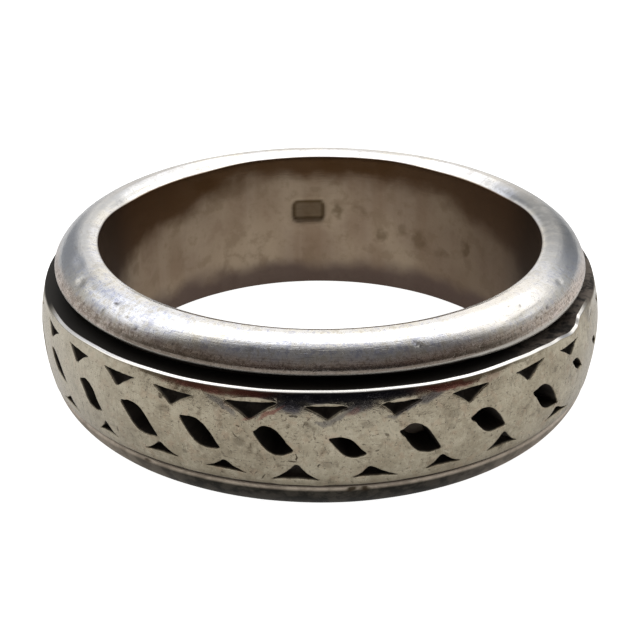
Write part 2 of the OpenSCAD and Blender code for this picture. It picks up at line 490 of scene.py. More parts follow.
def makeCoreSlice(c):
    sleeveRadius = boreRadius + c["sleeveThickness"]
    topZ, lowZ = ringHeight - c["topRimHeight"], c["lowRimHeight"]
    topRadius = sleeveRadius + c["topRimReach"]
    top = [(r, topZ + h) for r, h in rimOutline(c, topRadius, c["topRimHeight"])]
    outline = [(r, lowZ - h) for r, h in rimOutline(c, coreHigh.x, lowZ)]
    for corner in ((sleeveRadius, lowZ), (sleeveRadius, topZ), top[-1]):
        outline += linePoints(outline[-1], corner, c["roughSpacing"])[1:]
    outline += top[-2::-1]
    outline += linePoints(top[0], outline[0], c["fineSpacing"] * 1.5)[1:-1]
    travelled = [0.0]
    for a, b in zip(outline, outline[1:]):
        travelled.append(travelled[-1] + math.dist(a, b))
    length = 2 * math.pi * crownRadius / c["slices"]
    steps, count = c["sliceSteps"], len(outline)
    points, columns = [], {name: [] for name in ("bore", "groove", "lip", "along", "face")}
    for step in range(steps + 1):
        for (r, z), s in zip(outline, travelled):
            points.append(((step / steps - 0.5) * length, -r, z))
            groove = min(smoothStep(lowZ - c["soft"], lowZ, z), smoothStep(topZ + c["soft"], topZ, z))
            groove *= smoothStep(boreRadius + 0.2, boreRadius + 0.4, r)
            bore = smoothStep(boreRadius + 0.08, boreRadius + 0.01, r)
            lip = smoothStep(topRadius - 0.2, topRadius - 0.04, r) * smoothStep(0.3, 0.05, abs(z - topZ - 0.08))
            for column, value in zip(columns.values(), (bore, groove, lip, s, 1 - 0.9 * groove)):
                column.append(value)
    faces = []
    for step in range(steps):
        for i in range(count):
            a, b = step * count + i, step * count + (i + 1) % count
            faces.append((a, a + count, b + count, b))
    lookup = [(r, z, s) for (r, z), s in zip(outline, travelled)]
    return sliceObject("coreSlice", points, faces, columns), length, lookup


def markCore(piece, lookup, marks, blank):
    # Presses the nicks and dents into the finished core, and notes where they are dark
    mesh = piece.data
    along = [item.value for item in mesh.attributes["along"].data]
    places = [ringPlace(v) for v in mesh.vertices]
    stain, push, buckets = [0.0] * len(along), {}, {}
    for index, (turn, _, _) in enumerate(places):
        buckets.setdefault(round(turn) % 360, []).append(index)

    def reachFrom(turn, index, radius):
        # Signed distance round the ring from a turn to a point
        return math.radians((places[index][0] - turn + 180) % 360 - 180) * radius

    for turn, radius, height, length, width, tilt, depth, dark in marks:
        middle = min(lookup, key=lambda row: math.dist(row[:2], (radius, height)))
        reach = math.degrees(max(length, width) / 2 / radius) + 1.5
        cosine, sine = math.cos(math.radians(tilt)), math.sin(math.radians(tilt))
        for degree in range(round(turn - reach), round(turn + reach) + 1):
            for index in buckets.get(degree % 360, []):
                x, y = reachFrom(turn, index, radius), along[index] - middle[2]
                u = (x * cosine + y * sine) / (length / 2)
                w = (y * cosine - x * sine) / (width / 2)
                share = max(0.0, 1 - u * u - w * w) ** 1.5
                if share > 0:
                    push[index] = push.get(index, 0.0) + depth * share
                    stain[index] = max(stain[index], dark * min(1.0, share * 2))
    corner = blank["corner"]
    for index, (turn, radius, z) in enumerate(places):
        if radius < boreRadius + 0.1 and abs(turn) > 90:
            u = max(0.0, abs(reachFrom(blank["turn"], index, radius)) - blank["length"] / 2 + corner)
            w = max(0.0, abs(z - blank["height"]) - blank["width"] / 2 + corner)
            share = smoothStep(corner, corner - 0.18, math.hypot(u, w))
            if share > 0:
                push[index] = blank["depth"] * share
                inside = smoothStep(corner - 0.15, corner - 0.35, math.hypot(u, w))
                stain[index] = share * (0.95 - 0.35 * inside)
    normals = {index: mesh.vertices[index].normal.copy() for index in push}
    for index, depth in push.items():
        mesh.vertices[index].co -= normals[index] * depth * mm
    addColumns(mesh, {"stain": stain})
    mesh.update()
    print("core marked:", len(push), "points pressed")


# Spinner band

spinner = {
    "topFall": 0.35,            # how far the dome falls back at its top edge
    "lowFall": 0.22,
    "crownLow": 0.05,           # widest line below the middle
    "topEdge": (0.08, 0.09, 24),    # radius of a rounded edge, and width and slope (degrees) of the worn
    "lowEdge": (0.1, 0.02, 12),     # strip inside it
    "calmFrom": 4.8,            # the waver and the dents fade between these heights, towards the top edge
    "calmTo": 5.1,
    "turnGap": 0.06,            # running gap round the sleeve
    "acrossSteps": 24,
    "upSteps": 30,
    "innerUpSteps": 14,
    "scatter": 0.13,            # spacing of the points between the cuts
    "innerScatter": 0.26,
    "waverDepth": 0.05,         # slow waver and dents of the face, and ragged edges of the cuts
    "waverScale": 350.0,
    "dentDepth": 0.03,
    "dentScale": 900.0,
    "raggedDepth": 0.06,
    "seed": 8.0,
    # Painted shade over the top edge at both sides, set by the next three
    "sootTurns": (63, 72),      # the groove's dark sets in between these turns, leaves between the next
    "sootEnds": (118, 100),     # two, and covers the metal above these heights
    "sootHeights": (5.40, 5.48),
}

braid = {
    "repeats": 27,
    "firstTurn": 5.1,           # degrees from the front to the first leaf
    "leafLength": 2.06,
    "leafWidth": 0.84,
    "leafTilt": 31,
    "leafSkew": 0.3,            # how far each side's belly lies off the middle
    "leafLow": 0.08,            # below the middle of the spinner
    "leafPoints": 64,
    "chipWidth": 1.75,
    "chipHeight": 0.6,          # from the long side to the point
    "chipDepth": 0.46,
    "longPoints": 26,
    "shortPoints": 15,
    "topBorder": 0.53,          # from a top chip's long side to the spinner's edge
    "lowBorder": 0.45,
    "topTurn": -4.5,            # turn of the top chips against the leaves
    "lowTurn": 4.2,
    "facet": 0.17,              # bulge of the shallow facet above a top chip's long side
    "facetDepth": 0.055,
    "blunt": 0.18,              # half width of the blunted point of a low chip
    "topHollow": 0.05,          # how far the short sides bow inwards
    "lowHollow": 0.09,
    "rimRound": 0.03,           # worn edge of every cut
    "clear": 0.07,              # metal round a cut that no scattered point comes near
    "grip": 0.55,               # reach of a cut's own shift into the metal around it
    "wallShares": (0.04, 0.5, 0.8, 1.0),        # depths of the rows down a leaf's wall
    "wallDraft": 0.04,          # how far the wall leans in
    "floorDepth": 0.18,         # where a chip's wall ends and its sloping floor starts
    "floorShares": (0.72, 0.48, 0.24),
    "tipGrip": 0.55,            # as grip, for a leaf's tips, a facet's long side and the ragged edges
    "facetGrip": 0.4,
    "raggedGrip": 0.12,
}

# How the cuts at the front stray from the even braid, as the photo shows them. A row is a repeat:
# shift (degrees), lift (mm), then shares of widening, tilt (clockwise, radians), heightening and skew
frontLeaves = {
    -5: (-0.4, 0.0, -0.11, 0.17, -0.28, -0.33),
    -4: (-0.1, -0.1, -0.15, 0.02, -0.03, 0.0),
    -3: (0.1, -0.08, 0.06, 0.0, 0.04, 0.0),
    -2: (0.0, 0.06, -0.03, 0.0, 0.0, 0.0),
    -1: (-0.2, 0.12, -0.1, -0.09, 0.06, 0.05),
    0: (-0.3, -0.1, -0.17, 0.0, -0.22, 0.0),
    1: (-0.5, -0.03, 0.0, 0.0, 0.14, 0.0),
    2: (-0.3, 0.05, -0.06, -0.1, 0.02, 0.1),
    3: (0.2, -0.12, 0.05, 0.08, 0.04, -0.08),
    4: (-0.5, 0.28, -0.4, 0.0, -0.5, 0.0),
    5: (-1.0, 0.2, -0.5, 0.0, -0.6, 0.0),
}
frontTopChips = {
    -6: (-0.1, -0.12, -0.13, 0.0, -0.3, 0.0),
    -5: (0.5, -0.1, -0.11, 0.05, -0.1, 0.0),
    -4: (-0.1, -0.05, -0.08, 0.03, 0.0, 0.0),
    -3: (-0.5, -0.03, 0.03, -0.02, 0.0, 0.1),
    -2: (-1.1, -0.02, 0.03, 0.04, 0.0, 0.0),
    -1: (0.4, 0.01, 0.20, -0.06, 0.1, 0.1),
    0: (0.6, 0.03, -0.05, 0.0, -0.2, -0.1),
    1: (0.0, 0.05, -0.07, 0.0, -0.25, 0.5),
    2: (0.2, 0.02, -0.13, -0.03, -0.05, 0.1),
    3: (-0.2, 0.06, 0.04, -0.05, -0.03, 0.5),
    4: (0.9, -0.08, 0.05, 0.03, -0.12, 0.0),
    5: (-1.6, 0.03, -0.8, 0.0, -0.75, 0.0),
}
frontLowChips = {
    -5: (-0.4, -0.1, -0.07, 0.03, -0.1, 0.0),
    -4: (-0.1, -0.06, -0.26, 0.0, 0.05, -0.15),
    -3: (0.4, 0.08, -0.03, -0.04, 0.0, 0.05),
    -2: (0.5, 0.0, -0.01, 0.04, -0.1, -0.1),
    -1: (-0.2, -0.06, 0.05, 0.0, 0.42, 0.05),
    0: (0.15, -0.06, 0.07, 0.05, 0.05, -0.5),
    1: (0.0, -0.04, -0.11, 0.0, 0.0, -0.2),
    2: (-0.4, 0.05, -0.09, 0.03, 0.3, 0.0),
    3: (0.9, -0.03, 0.17, 0.09, -0.1, -0.8),
    4: (0.0, -0.2, -0.81, 0.0, -0.8, 0.0),
}
# How far a leaf's left tip moves in and down, and its right tip up, in mm
frontTips = {-5: (0.1, 0.05, 0.0), -4: (0.0, 0.1, 0.05), -3: (0.0, 0.06, 0.0), -1: (0.1, 0.15, 0.08),
             0: (0.0, 0.02, 0.07), 1: (0.03, 0.18, 0.0), 2: (0.0, 0.14, -0.03), 3: (0.0, 0.08, -0.04)}
# How far the shallow facet of a top chip is cut
frontLenses = {-1: 1.0, 0: 0.95, 1: 1.0, 2: 0.35}
frontSlides = {-5: 0.6, -4: 0.2, -2: -0.3, 2: 0.2, 3: 2.1, 4: 1.0}


def leafLoop(b, centre):
    # Both sides bulge, each nearer its own end, so the leaf has the braid's slanted form
    half, belly, skew = b["leafLength"] / 2, b["leafWidth"] / 2, b["leafSkew"]

    def sidePoint(s, sign):
        turn = math.pi * s
        return half * (2 * s - 1), sign * belly * math.sin(turn) * (1 + sign * skew * math.cos(turn))

    lower, upper = [[sidePoint(i / 60, sign) for i in range(61)] for sign in (-1, 1)]
    tilt = math.radians(-b["leafTilt"])
    cosine, sine = math.cos(tilt), math.sin(tilt)
    loop = [(x * cosine - y * sine, x * sine + y * cosine) for x, y in lower + upper[-2:0:-1]]
    return [(x + centre[0], y + centre[1]) for x, y in evenLoop(smoothLoop(loop, 3), b["leafPoints"])]


def chipLoop(b, centre, point, bulge, hollow):
    # Point is 1 for up and -1 for down; the centre is the middle of the long side, which bulges away from it
    half, high = b["chipWidth"] / 2, b["chipHeight"] * point
    corners = [(-half * point, 0.0), (half * point, 0.0), (0.0, high)]
    loop = []
    for side, ((ax, ay), (bx, by)) in enumerate(zip(corners, corners[1:] + corners[:1])):
        steps, bow = (b["longPoints"], bulge) if side == 0 else (b["shortPoints"], -hollow)
        length = math.dist((ax, ay), (bx, by))
        for i in range(steps):
            s = i / steps
            out = bow * math.sin(math.pi * s) ** 0.8
            x, y = between((ax, ay), (bx, by), s)
            loop.append((x + (by - ay) / length * out, y - (bx - ax) / length * out))
    if point > 0:
        # A blunt point, drawn as a small parabola
        w = b["blunt"]
        loop = [(x, min(y, high - w / 2 - x * x / (2 * w))) if abs(x) < w else (x, y) for x, y in loop]
    return [(x + centre[0], y + centre[1]) for x, y in smoothLoop(loop, 2)]


def makeSpinnerSlice(s, b):
    innerRadius = boreRadius + core["sleeveThickness"] + s["turnGap"]
    middle = (spinLow.z + spinHigh.z) / 2
    crownZ = middle - s["crownLow"]
    rise, sink = spinHigh.z - crownZ, crownZ - spinLow.z
    topArc, lowArc = [(span ** 2 + fall ** 2) / (2 * fall)
                      for span, fall in ((rise, s["topFall"]), (sink, s["lowFall"]))]

    def domeRadius(z):
        arc = topArc if z > crownZ else lowArc
        return crownRadius - arc + math.sqrt(arc * arc - (z - crownZ) ** 2)

    def faceShare(z):
        # How much of the waver and the dents a point of the face takes
        return 1 - 0.6 * smoothStep(s["calmFrom"], s["calmTo"], z)

    def edgeRows(edge, arc, height, sign):
        # Rows over a rounded edge: from the dome's end to the inner corner, as (radius, z)
        r, bevel, slope = edge
        fall = bevel * math.tan(math.radians(slope))
        up = height - r * math.cos(math.radians(slope)) - fall
        centre = (crownRadius - arc + math.sqrt((arc - r) ** 2 - up ** 2), up)
        rows = arcPoints(centre, r, turnOf((crownRadius - arc, 0.0), centre), 90 - slope, roundSteps)
        if sign > 0:
            rows.append((rows[-1][0] - 0.8 * bevel, height - 0.2 * fall))
            bevel *= 0.2
        rows.append((rows[-1][0] - bevel, height))
        rows.append((rows[-1][0] - 0.03, height))
        rows += linePoints(rows[-1], (innerRadius, height), 0.25)[1:]
        return [(x, crownZ + sign * y) for x, y in rows]

    roundSteps = 5
    topRows, lowRows = edgeRows(s["topEdge"], topArc, rise, 1), edgeRows(s["lowEdge"], lowArc, sink, -1)
    zTop, zLow = topRows[0][1], lowRows[0][1]
    pitch = 2 * math.pi * crownRadius / b["repeats"]
    leafZ = middle - b["leafLow"]
    topX, lowX = [math.radians(b[name]) * crownRadius for name in ("topTurn", "lowTurn")]
    topChipZ, lowChipZ = spinHigh.z - b["topBorder"], spinLow.z + b["lowBorder"]
    high = b["chipHeight"]
    lean = (topX - lowX) / (topChipZ - lowChipZ - high)

    def leanAt(z):
        return lean * (z - leafZ)

    def chip(name, x, z, point, bulges, hollow):
        loop, pit = [chipLoop(b, (x, z), point, bulge, hollow) for bulge in bulges]
        return {"name": name, "spot": (x, z + point * high * 0.4), "loop": loop, "pit": pit}

    leafLine = leafLoop(b, (0.0, leafZ))
    cuts = [{"name": "leaf", "spot": (0.0, leafZ), "loop": leafLine, "pit": leafLine},
            chip("topChip", topX, topChipZ, -1, (b["facet"], 0.0), b["topHollow"]),
            chip("lowChip", lowX, lowChipZ, 1, (-0.06, -0.08), b["lowHollow"])]
    bulged, straight = cuts[1]["loop"], cuts[1]["pit"]
    tilt = math.radians(b["leafTilt"])
    tipX, tipZ = b["leafLength"] / 2 * math.cos(tilt), b["leafLength"] / 2 * math.sin(tilt)
    tipSpots = {"leftTip": (-tipX, leafZ + tipZ), "rightTip": (tipX, leafZ - tipZ)}
    points, faces, columns = [], [], {}

    def addPoint(x, z, radius, soot=0.0, shine=0.0, face=0.0, cut=None, drop=0.0, **known):
        # Known values take the place of those that would be worked out here
        side = (x - leanAt(z)) / (pitch / 2)
        home, grip, hold, ragged = cut, 1.0, 1.0, 1.0
        if not cut:
            away = sorted((min(math.dist((x, z), p) for p in c["loop"]), i) for i, c in enumerate(cuts))
            near, further = [max(distance - b["rimRound"], 0.0) for distance, _ in away[:2]]
            home = cuts[away[0][1]]
            onRing = smoothStep(0.08, 0.0, near)
            hold = (further - near) / (further + near)
            grip = (1 - smoothStep(0.0, b["grip"], near)) * (1 - smoothStep(0.84, 1.0, abs(side)))
            grip *= max(smoothStep(zTop, zTop - 0.2, z), onRing) * hold
            ragged = smoothStep(b["raggedGrip"], 0.01, near)
            if face and home["name"] == "topChip" and near < b["facetGrip"]:
                nearest = min(range(len(bulged)), key=lambda i: math.dist((x, z), bulged[i]))
                drop = (straight[nearest][1] - bulged[nearest][1]) * smoothStep(b["facetGrip"], 0.01, near)
                drop *= max(smoothStep(zTop, zTop - 0.15, z), onRing)
        points.append((x, -radius, z))
        values = {"soot": soot, "shine": shine, "side": side, "face": face, "ragged": ragged,
                  "fallRate": (z - crownZ) / (topArc if z > crownZ else lowArc),
                  "spot": ((x - home["spot"][0]) * mm, 0.0, (z - home["spot"][1]) * mm),
                  "flatten": (0.0, (domeRadius(z) - domeRadius(z + drop)) * mm, drop * mm)}
        for name, spot in tipSpots.items():
            onLeaf = hold if home["name"] == "leaf" else 0.0
            values[name] = smoothStep(b["tipGrip"], 0.05, math.dist((x, z), spot)) * onLeaf
        for name in cutNames:
            values[name + "Grip"] = grip if name == home["name"] else 0.0
        for name, value in {**values, **known}.items():
            columns.setdefault(name, []).append(value)
        return len(points) - 1

    across, up = s["acrossSteps"], s["upSteps"]
    left, right = -pitch / 2, pitch / 2

    def spreadPoints(holes, spacing, upCount, seed):
        # The slice's border and an even scatter that keeps clear of the holes
        foot, head = [[(left + pitch * i / across + leanAt(z), z) for i in range(across + 1)]
                      for z in (zLow, zTop)]
        sides = [zLow + (zTop - zLow) * i / upCount for i in range(1, upCount)]
        border = foot + [(right + leanAt(z), z) for z in sides] + head[::-1]
        border += [(left + leanAt(z), z) for z in reversed(sides)]
        draw = random.Random(seed)
        rows = int((zTop - zLow) / (spacing * 0.87))
        inside = []
        for j in range(1, rows):
            for i in range(int(pitch / spacing) + 1):
                x = left + spacing * (i + 0.5 * (j % 2) + 0.35) + draw.uniform(-0.1, 0.1) * spacing
                z = zLow + (zTop - zLow) * j / rows + draw.uniform(-0.1, 0.1) * spacing
                spot = (x + leanAt(z), z)
                clear = min(math.dist(spot, p) for hole in holes for p in hole["keep"])
                blocked = clear < spacing * 0.7 or any(isInside(spot, hole["keep"]) for hole in holes)
                if x < right - spacing * 0.4 and not blocked:
                    inside.append(spot)
        return border, inside

    def fillSkin(border, inside, holes):
        # Triangles between the border and the holes, as places in one list of points
        flat = list(border)
        edges = [(i, (i + 1) % len(border)) for i in range(len(border))]
        for hole in holes:
            base, count = len(flat), len(hole["ring"])
            hole["base"] = base
            edges += [(base + i, base + (i + 1) % count) for i in range(count)]
            flat += hole["ring"]
        for hole in holes:
            flat += hole["keep"]
        flat += inside
        made = geometry.delaunay_2d_cdt([Vector(p) for p in flat], edges, [], 1, 1e-6)
        source = [min(group) for group in made[3]]
        triangles = []
        for face in made[2]:
            centre = tuple(sum(made[0][v][k] for v in face) / 3 for k in (0, 1))
            if not any(isInside(centre, hole["ring"]) for hole in holes):
                triangles.append(tuple(source[v] for v in face))
        return flat, triangles

    # Outer skin
    rounding = b["rimRound"]
    holes = [{"cut": cut, "ring": grownLoop(cut["loop"], rounding),
              "keep": grownLoop(cut["loop"], rounding + b["clear"])} for cut in cuts]
    border, inside = spreadPoints(holes, s["scatter"], up, 3)
    flat, triangles = fillSkin(border, inside, holes)
    outer = [addPoint(x, z, domeRadius(z), face=faceShare(z)) for x, z in flat]
    faces += [tuple(outer[v] for v in t) for t in triangles]

    # Rounded edge, then the wall or the floor of each cut
    for hole in holes:
        cut, facets = hole["cut"], None
        pit, count = cut["pit"], len(cut["loop"])
        ring = [outer[hole["base"] + i] for i in range(count)]

        def addRing(loop, depth, soot, share=0.0, through=0.0, isRounding=False):
            # Share runs from 0 at the cut's outer line to 1 at the line of its pit,
            # and through from 0 at the depth to 1 at the sleeve's side
            made = []
            for i, (x, z) in enumerate(loop):
                drop = (pit[i][1] - cut["loop"][i][1]) * (1 - share) if cut["name"] == "topChip" else 0.0
                deep = depth + (domeRadius(z) - innerRadius - depth) * through
                plain = 1.0
                if facets:
                    plain = 1 - facets[i]
                    deep = deep * plain + share * b["facetDepth"]
                face = faceShare(z) if isRounding else 0.0
                made.append(addPoint(x, z, domeRadius(z) - deep, soot * plain, 0.0, face, cut, drop))
            for i in range(count):
                j = (i + 1) % count
                faces.append((ring[i], ring[j], made[j], made[i]))
            return made

        if cut["name"] == "topChip":
            facets = [smoothStep(0.0, 0.1, math.sin(math.pi * i / b["longPoints"]))
                      for i in range(b["longPoints"])]
            facets += [0.0] * (count - len(facets))
        for turn, soot in ((35, 0.0), (80, 0.3)):
            out = rounding * (1 - math.sin(math.radians(turn)))
            down = rounding * (1 - math.cos(math.radians(turn)))
            ring = addRing(grownLoop(cut["loop"], out), down, soot, isRounding=True)
        if cut["name"] == "leaf":
            for share in b["wallShares"]:
                ring = addRing(grownLoop(cut["loop"], -b["wallDraft"] * share), rounding, 1.0, through=share)
            innerHole = {"ring": [(points[v][0], points[v][2]) for v in ring], "made": ring}
            continue
        for share in (0.12, 0.88):
            loop = [between(a, p, share) for a, p in zip(cut["loop"], pit)] if facets else pit
            ring = addRing(loop, 0.05, 0.9, share)
        facets, floor = None, b["floorDepth"]
        ring = addRing(pit, b["facetDepth"] + 0.004, 0.6, 1.0)
        for inset, depth in ((0.008, 0.085), (0.015, floor)):
            ring = addRing(grownLoop(pit, -inset), depth, 1.0, 1.0)
        for share in b["floorShares"]:
            depth = floor + (b["chipDepth"] - floor) * (1 - share) ** 0.6
            ring = addRing([between(cut["spot"], p, share) for p in pit], depth, 1.0, 1.0)
        x, z = cut["spot"]
        tip = addPoint(x, z, domeRadius(z) - b["chipDepth"], 1.0, cut=cut)
        faces += [(ring[i], ring[(i + 1) % count], tip) for i in range(count)]

    # Inner skin, facing the sleeve
    innerHole["keep"] = grownLoop(innerHole["ring"], 0.12)
    border, inside = spreadPoints([innerHole], s["innerScatter"], s["innerUpSteps"], 5)
    flat, triangles = fillSkin(border, inside, [innerHole])
    inner = []
    for i, (x, z) in enumerate(flat):
        k = i - innerHole["base"]
        if 0 <= k < len(innerHole["made"]):
            inner.append(innerHole["made"][k])
            continue
        onEnd = i < len(border) and (z < zLow + 1e-6 or z > zTop - 1e-6)
        end = spinLow.z if z < crownZ else spinHigh.z
        inner.append(addPoint(x, end if onEnd else z, innerRadius, 1.0, side=(x - leanAt(z)) / (pitch / 2)))
    faces += [tuple(inner[v] for v in reversed(t)) for t in triangles]

    def addEdge(rows, skins, isTop, tones):
        # A rounded edge and the flat face behind it; the tones are oxide with painted shade, and shine, row by
        # row
        ends = []
        for skin, start in zip(skins, (across + up, across + s["innerUpSteps"])):
            ends.append(skin[start:start + across + 1][::-1] if isTop else skin[:across + 1])
        previous, last = ends
        for k, (radius, z) in enumerate(rows[1:]):
            row, face = last, 0.4 if k < roundSteps else 0.3
            if k < len(rows) - 2:
                row = []
                for i in range(across + 1):
                    x = left + pitch * i / across + leanAt(rows[0][1])
                    row.append(addPoint(x, z, radius, *(tones[k] if k < len(tones) else (1.0, 0.0)), face,
                                        ragged=0.6 if k < 2 and isTop else 0.0, side=2 * i / across - 1))
            for i in range(across):
                quad = (previous[i], previous[i + 1], row[i + 1], row[i])
                faces.append(quad if isTop else quad[::-1])
            previous = row

    addEdge(topRows, (outer, inner), True, [(0.0, shine) for shine in (0.0, 0.2, 0.7, 1.0, 1.0, 1.0, 1.0)])
    # The low edge's rounding darkens towards the seam below: painted shade
    addEdge(lowRows, (outer, inner), False, [(0.3, 0.0), (0.7, 0.0)])
    return sliceObject("spinnerSlice", points, faces, columns), pitch


def shadeOverSides(piece, s):
    # Painted shade: at both sides the dark of the groove is painted over the rounded edge, which loses its
    # shine
    soot, shine = [piece.data.attributes[name].data for name in ("soot", "shine")]
    edgeFoot = 5.2
    for v in piece.data.vertices:
        turn, _, z = ringPlace(v)
        if z > edgeFoot:
            share = smoothStep(*s["sootTurns"], abs(turn)) * smoothStep(*s["sootEnds"], abs(turn))
            shine[v.index].value *= 1 - share
            soot[v.index].value = max(soot[v.index].value, share * smoothStep(*s["sootHeights"], z))


def strayColumns(b, pitch):
    # Peg values: the charted front cuts, and small random strays for the rest
    draw = random.Random(11)
    degree = math.radians(1) * crownRadius * mm
    count = b["repeats"]
    places = list(range(-(count // 2), count - count // 2))
    columns = {}
    for name, chart in zip(cutNames, (frontLeaves, frontTopChips, frontLowChips)):
        moves, forms = [], []
        columns.update({name + "Move": moves, name + "Form": forms})
        for place in places:
            drawn = [draw.gauss(0, spread) for spread in (0.4, 0.05, 0.08, 0.04, 0.08, 0.15)]
            shift, lift, wide, tilt, high, skew = chart.get(place, drawn)
            moves.append((shift * degree, skew, lift * mm))
            forms.append((wide, tilt, high))
    columns["tips"] = [[c * mm for c in frontTips.get(place, (0, 0, 0))] for place in places]
    columns["lens"] = [(frontLenses.get(place, 0.0 if abs(place) < 7 or draw.random() < 0.6 else 0.8), 0, 0)
                       for place in places]
    slides = [frontSlides.get(place, 0.0) * degree for place in places]
    columns["slide"] = [(slides[i - 1], slides[i], slides[(i + 1) % count]) for i in range(count)]
    return [place * pitch for place in places], columns


# Materials

class Paint(Nodes):
    # One metal's node tree, with the patterns that it mixes

    def __init__(self, name):
        self.material = bpy.data.materials.new(name)
        self.material.use_nodes = True
        super().__init__(self.material.node_tree)
        place = self.add("ShaderNodeTexCoord", "Object")
        self.place = self.vector("SCALE", place, scale=1 / mm)      # in millimetres from here on
        self.x, self.y, self.z = self.split(self.place)
        around = self.vector("NORMALIZE", self.join(self.x, self.y, 0.0))
        self.around = self.vector("SCALE", around, scale=crownRadius)

    def value(self, name):
        return self.add("ShaderNodeAttribute", "Fac", attribute_name=name)

    def blend(self, share, first, second):
        return self.add("ShaderNodeMix", 0, {0: share, 2: first, 3: second}, data_type="FLOAT")

    def noise(self, vector, scale, detail=2.0, rough=0.5, distortion=0.0, output="Fac"):
        return self.add("ShaderNodeTexNoise", output, {"Vector": vector, "Scale": scale, "Detail": detail,
                                                       "Roughness": rough, "Distortion": distortion})

    def streaks(self, vector, scales, *settings):
        return self.noise(self.vector("MULTIPLY", vector, scales), *settings)

    def unrolled(self, height):
        x, y, _ = self.split(self.around)
        return self.join(x, y, height)

    def shaken(self, place, scale, reach):
        # The same place with ragged noise added, so that marks have uneven edges
        shake = self.vector("SUBTRACT", self.noise(place, scale, output="Color"), (0.5, 0.5, 0.5))
        return self.vector("ADD", place, self.vector("SCALE", shake, scale=reach))

    def marks(self, place, rows, radius, softness=0.35):
        # Dark share of a list of oval marks that lie on a round wall
        total = None
        for turn, height, length, width, tilt, strength in rows:
            angle = math.radians(turn)
            middle = (radius * math.sin(angle), -radius * math.cos(angle), height)
            inputs = {"Vector": place, "Location": middle, "Rotation": (0, math.radians(tilt), angle),
                      "Scale": (length / 2, 1.0, width / 2)}
            away = self.vector("LENGTH", self.add("ShaderNodeMapping", 0, inputs, vector_type="TEXTURE"))
            share = self.times(self.step(away, 1.0, softness), strength)
            total = share if total is None else self.larger(total, share)
        return total

    def finish(self, metallic, roughness, height):
        # Heights are in millimetres
        bump = self.add("ShaderNodeBump", 0, {"Distance": mm, "Height": height})
        shader = self.tree.nodes["Principled BSDF"]
        settings = {"Base Color": self.tone, "Metallic": metallic, "Roughness": roughness, "Normal": bump}
        for name, value in settings.items():
            self.feed(shader.inputs[name], value)
        return self.material


# Stains on the wall of the finger hole: the same columns as the spinner's marks
boreStains = (
    (-144, 6.1, 2.4, 1.3, 0, 0.75), (177, 6.4, 2.2, 1.1, 0, 0.65), (167, 6.3, 1.6, 0.9, 0, 0.5),
    (160, 6.5, 1.6, 1.0, 0, 0.65), (160.5, 2.95, 0.9, 1.1, 0, 0.5), (154, 3.4, 0.9, 0.9, 0, 0.35),
    (149, 3.0, 1.1, 1.5, 0, 0.45), (132, 3.3, 1.0, 1.1, 0, 0.6), (141, 2.6, 1.6, 0.7, 0, 0.3),
    (-160, 6.4, 1.4, 0.7, 0, 0.4), (174.5, 4.1, 1.0, 1.1, 0, 0.55), (168, 4.2, 1.2, 0.6, 0, 0.25),
    (-177, 4.1, 3.2, 2.2, 0, 0.25), (-150, 5.6, 3.4, 1.6, 0, 0.35),
)


